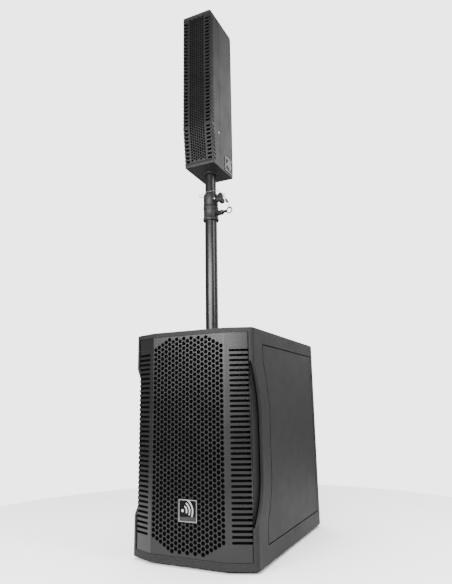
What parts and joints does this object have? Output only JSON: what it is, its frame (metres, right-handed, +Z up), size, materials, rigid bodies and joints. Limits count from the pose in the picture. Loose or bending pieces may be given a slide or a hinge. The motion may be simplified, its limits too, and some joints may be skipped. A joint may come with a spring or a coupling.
{
  "type": "pa speaker",
  "caption": "Column loudspeaker on a telescopic pole standing in a floor subwoofer, with slotted and perforated grilles, side grips and a rear amplifier panel.",
  "frame": {"origin": "centre of the subwoofer's footprint, at the height its feet rest on", "axes": "+Z up along the pole; the grilles face -Y; the amplifier panel faces +Y"},
  "size_m": [0.366, 0.578, 1.656],
  "materials": {
    "cabinet_paint": "black textured paint over plywood",
    "column_paint": "black textured paint",
    "baffle_board": "stained plywood",
    "grille_steel": "satin black powder coat on perforated sheet",
    "grille_foam": "open-cell acoustic foam",
    "black_plastic": "satin moulded plastic",
    "badge_metal": "brushed frame round a black field",
    "foot_rubber": "matte",
    "basket_steel": "black",
    "magnet_ferrite": "sintered ferrite",
    "bare_steel": "bright zinc",
    "cone_paper": "pressed paper",
    "copper_winding": "enamelled copper wire",
    "panel_aluminium": "black anodised",
    "circuit_board": "green solder mask",
    "lamp_lens": "blue lens",
    "tube_steel": "gloss black powder coat"
  },
  "bodies": {
    "subwoofer": {"sub_cabinet": "cabinet_paint", "sub_baffle": "baffle_board", "sub_grille": "grille_steel", "grille_foam": "grille_foam", "port_left": "black_plastic", "port_right": "black_plastic", "sub_badge": "badge_metal", "foot_front_left": "foot_rubber", "foot_front_right": "foot_rubber", "foot_rear_left": "foot_rubber", "foot_rear_right": "foot_rubber", "woofer_basket": "basket_steel", "woofer_magnet": "magnet_ferrite", "woofer_yoke": "bare_steel", "woofer_surround": "foot_rubber", "woofer_spider": "cone_paper", "amp_panel": "panel_aluminium", "amp_heatsink": "panel_aluminium", "amp_back_box": "bare_steel", "amp_board": "circuit_board", "mains_transformer": "copper_winding", "input_socket": "black_plastic", "link_socket": "black_plastic", "column_output_socket": "black_plastic", "mains_inlet": "black_plastic", "power_switch_frame": "black_plastic", "power_lamp": "lamp_lens", "sub_pole_cup": "black_plastic"},
    "woofer_moving": {"woofer_cone": "cone_paper", "woofer_dust_cap": "cone_paper", "woofer_voice_coil": "copper_winding"},
    "sub_level": {"sub_level_knob": "black_plastic"},
    "column_level": {"column_level_knob": "black_plastic"},
    "power_switch": {"power_rocker": "black_plastic"},
    "pole_foot": {"pole_foot_plug": "black_plastic"},
    "pole": {"pole_lower_tube": "tube_steel", "pole_collar": "black_plastic", "collar_bolt": "bare_steel", "pin_lanyard": "bare_steel"},
    "upper_tube": {"pole_upper_tube": "tube_steel"},
    "top_cap": {"pole_top_cap": "black_plastic"},
    "column": {"column_cabinet": "column_paint", "column_baffle": "baffle_board", "column_grille": "grille_steel", "column_driver_1": "basket_steel", "column_driver_2": "basket_steel", "column_driver_3": "basket_steel", "column_driver_4": "basket_steel", "column_driver_5": "basket_steel", "column_driver_6": "basket_steel", "column_pole_socket": "black_plastic", "column_connector_plate": "black_plastic", "column_input_socket": "black_plastic", "column_badge": "badge_metal", "grille_screw_right": "bare_steel", "grille_screw_left": "bare_steel"},
    "clamp": {"clamp_knob": "black_plastic"},
    "pin": {"lock_pin": "tube_steel", "lock_pin_ring": "tube_steel"}
  },
  "joints": [
    {"name": "woofer_stroke", "type": "slide", "parent": "subwoofer", "child": "woofer_moving", "axis": [0, 1, 0], "range_m": [-0.006, 0.006], "stiffness_N_per_m": 4000},
    {"name": "sub_level_turn", "type": "hinge", "parent": "subwoofer", "child": "sub_level", "pos_m": [0.005, 0.2763, 0.29], "axis": [0, 1, 0], "range_deg": [-140, 140]},
    {"name": "column_level_turn", "type": "hinge", "parent": "subwoofer", "child": "column_level", "pos_m": [-0.035, 0.2763, 0.29], "axis": [0, 1, 0], "range_deg": [-140, 140]},
    {"name": "power_rocker_tilt", "type": "hinge", "parent": "subwoofer", "child": "power_switch", "pos_m": [-0.005, 0.2763, 0.195], "axis": [-1, 0, 0], "range_deg": [0, 16]},
    {"name": "pole_lift", "type": "slide", "parent": "subwoofer", "child": "pole_foot", "axis": [0, 0, 1], "range_m": [0, 0.095]},
    {"name": "pole_turn", "type": "hinge", "parent": "pole_foot", "child": "pole", "pos_m": [0, -0.1372, 0.8], "axis": [0, 0, 1], "continuous": true},
    {"name": "pole_height", "type": "slide", "parent": "pole", "child": "upper_tube", "axis": [0, 0, 1], "range_m": [-0.055, 0.35]},
    {"name": "column_swivel", "type": "hinge", "parent": "upper_tube", "child": "top_cap", "pos_m": [0, -0.1372, 1.19], "axis": [0, 0, 1], "continuous": true},
    {"name": "column_lift", "type": "slide", "parent": "top_cap", "child": "column", "axis": [0, 0, 1], "range_m": [0, 0.085]},
    {"name": "clamp_knob_turn", "type": "hinge", "parent": "pole", "child": "clamp", "pos_m": [0, -0.1372, 1.032], "axis": [0.9781, -0.2079, 0], "range_deg": [0, 360]},
    {"name": "lock_pin_pull", "type": "slide", "parent": "pole", "child": "pin", "axis": [0.9781, -0.2079, 0], "range_m": [0, 0.025], "deforming": ["pin_lanyard"]}
  ]
}
